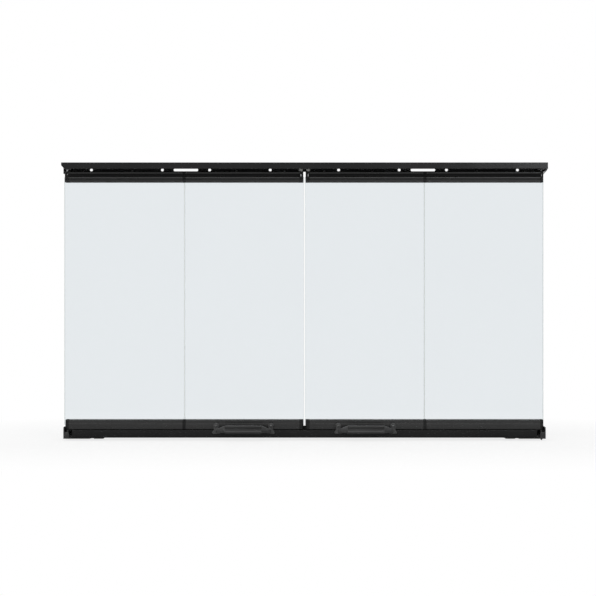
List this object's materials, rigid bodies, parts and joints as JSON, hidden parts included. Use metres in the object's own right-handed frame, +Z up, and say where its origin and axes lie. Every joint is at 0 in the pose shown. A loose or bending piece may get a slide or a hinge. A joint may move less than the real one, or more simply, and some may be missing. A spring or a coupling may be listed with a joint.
{
  "type": "fireplace glass door",
  "caption": "Frameless folding glass doors for a fireplace opening, in folding pairs between a top track and a bottom track, with bar handles, fold hinges, pivots and rollers.",
  "frame": {"origin": "midway between the two hearth screws, on the underside of the bottom track, in the mid-plane of the closed glass", "axes": "+X to the right as seen from the room, -Y towards the room, +Y towards the fire, +Z up"},
  "size_m": [0.914, 0.064, 0.5235],
  "materials": {
    "black_finish": "semi-gloss black baked enamel on extruded aluminium and sheet steel",
    "dark_steel": "satin dark grey enamel on folded steel",
    "handle_casting": "satin black enamel on cast metal",
    "handle_grip": "satin black enamel",
    "bare_steel": "plain zinc-plated steel",
    "nylon": "natural grey nylon",
    "catch_plastic": "matt black",
    "gasket_rubber": "matt black silicone",
    "glass": "clear tempered glass, 4.8 mm, polished edges"
  },
  "bodies": {
    "frame": {"top_track": "black_finish", "left_top_end_plate": "black_finish", "right_top_end_plate": "black_finish", "top_end_plate_rivets": "bare_steel", "guide_channel": "dark_steel", "left_upper_pivot_socket": "nylon", "right_upper_pivot_socket": "nylon", "bottom_track": "black_finish", "left_lower_bracket": "dark_steel", "right_lower_bracket": "dark_steel", "left_lower_pivot_pin": "bare_steel", "right_lower_pivot_pin": "bare_steel", "lower_pivot_nuts": "bare_steel", "left_magnetic_catch": "catch_plastic", "right_magnetic_catch": "catch_plastic", "frame_screws": "bare_steel"},
    "left_outer_door": {"left_outer_glass": "glass", "left_outer_top_rail": "black_finish", "left_outer_bottom_rail": "black_finish", "left_outer_gaskets": "gasket_rubber", "left_outer_end_caps": "black_finish", "left_outer_screws": "bare_steel", "left_outer_hinge_leaves": "dark_steel", "left_hinge_pins": "bare_steel", "left_upper_pivot_spring": "bare_steel"},
    "left_inner_door": {"left_inner_glass": "glass", "left_inner_top_rail": "black_finish", "left_inner_bottom_rail": "black_finish", "left_inner_gaskets": "gasket_rubber", "left_inner_end_caps": "black_finish", "left_inner_screws": "bare_steel", "left_inner_hinge_leaves": "dark_steel", "left_guide_pin": "bare_steel", "left_handle_brackets": "handle_casting", "left_handle_grip": "handle_grip", "left_strike_plate": "bare_steel"},
    "left_roller": {"left_guide_roller": "nylon"},
    "left_upper_pivot": {"left_upper_pivot_pin": "bare_steel"},
    "right_outer_door": {"right_outer_glass": "glass", "right_outer_top_rail": "black_finish", "right_outer_bottom_rail": "black_finish", "right_outer_gaskets": "gasket_rubber", "right_outer_end_caps": "black_finish", "right_outer_screws": "bare_steel", "right_outer_hinge_leaves": "dark_steel", "right_hinge_pins": "bare_steel", "right_upper_pivot_spring": "bare_steel"},
    "right_inner_door": {"right_inner_glass": "glass", "right_inner_top_rail": "black_finish", "right_inner_bottom_rail": "black_finish", "right_inner_gaskets": "gasket_rubber", "right_inner_end_caps": "black_finish", "right_inner_screws": "bare_steel", "right_inner_hinge_leaves": "dark_steel", "right_guide_pin": "bare_steel", "right_handle_brackets": "handle_casting", "right_handle_grip": "handle_grip", "right_strike_plate": "bare_steel"},
    "right_roller": {"right_guide_roller": "nylon"},
    "right_upper_pivot": {"right_upper_pivot_pin": "bare_steel"}
  },
  "joints": [
    {"name": "left_door_swing", "type": "hinge", "parent": "frame", "child": "left_outer_door", "pos_m": [-0.4485, -0.008, 0.25], "axis": [0, 0, -1], "range_deg": [0, 88]},
    {"name": "left_door_fold", "type": "hinge", "parent": "left_outer_door", "child": "left_inner_door", "pos_m": [-0.2277, 0.0086, 0.25], "axis": [0, 0, 1], "range_deg": [0, 176]},
    {"name": "left_roller_spin", "type": "hinge", "parent": "left_inner_door", "child": "left_roller", "pos_m": [-0.0069, -0.008, 0.5085], "axis": [0, 0, 1], "continuous": true},
    {"name": "left_upper_pivot_release", "type": "slide", "parent": "left_outer_door", "child": "left_upper_pivot", "axis": [0, 0, -1], "range_m": [0, 0.006], "stiffness_N_per_m": 600, "springref_m": -0.005, "deforming": ["left_upper_pivot_spring"]},
    {"name": "right_door_swing", "type": "hinge", "parent": "frame", "child": "right_outer_door", "pos_m": [0.4485, -0.008, 0.25], "axis": [0, 0, 1], "range_deg": [0, 88]},
    {"name": "right_door_fold", "type": "hinge", "parent": "right_outer_door", "child": "right_inner_door", "pos_m": [0.2277, 0.0086, 0.25], "axis": [0, 0, -1], "range_deg": [0, 176]},
    {"name": "right_roller_spin", "type": "hinge", "parent": "right_inner_door", "child": "right_roller", "pos_m": [0.0069, -0.008, 0.5085], "axis": [0, 0, 1], "continuous": true},
    {"name": "right_upper_pivot_release", "type": "slide", "parent": "right_outer_door", "child": "right_upper_pivot", "axis": [0, 0, -1], "range_m": [0, 0.006], "stiffness_N_per_m": 600, "springref_m": -0.005, "deforming": ["right_upper_pivot_spring"]}
  ],
  "couplings": [
    {"joint": "left_door_fold", "follows": "left_door_swing", "ratio": 2},
    {"joint": "right_door_fold", "follows": "right_door_swing", "ratio": 2}
  ]
}
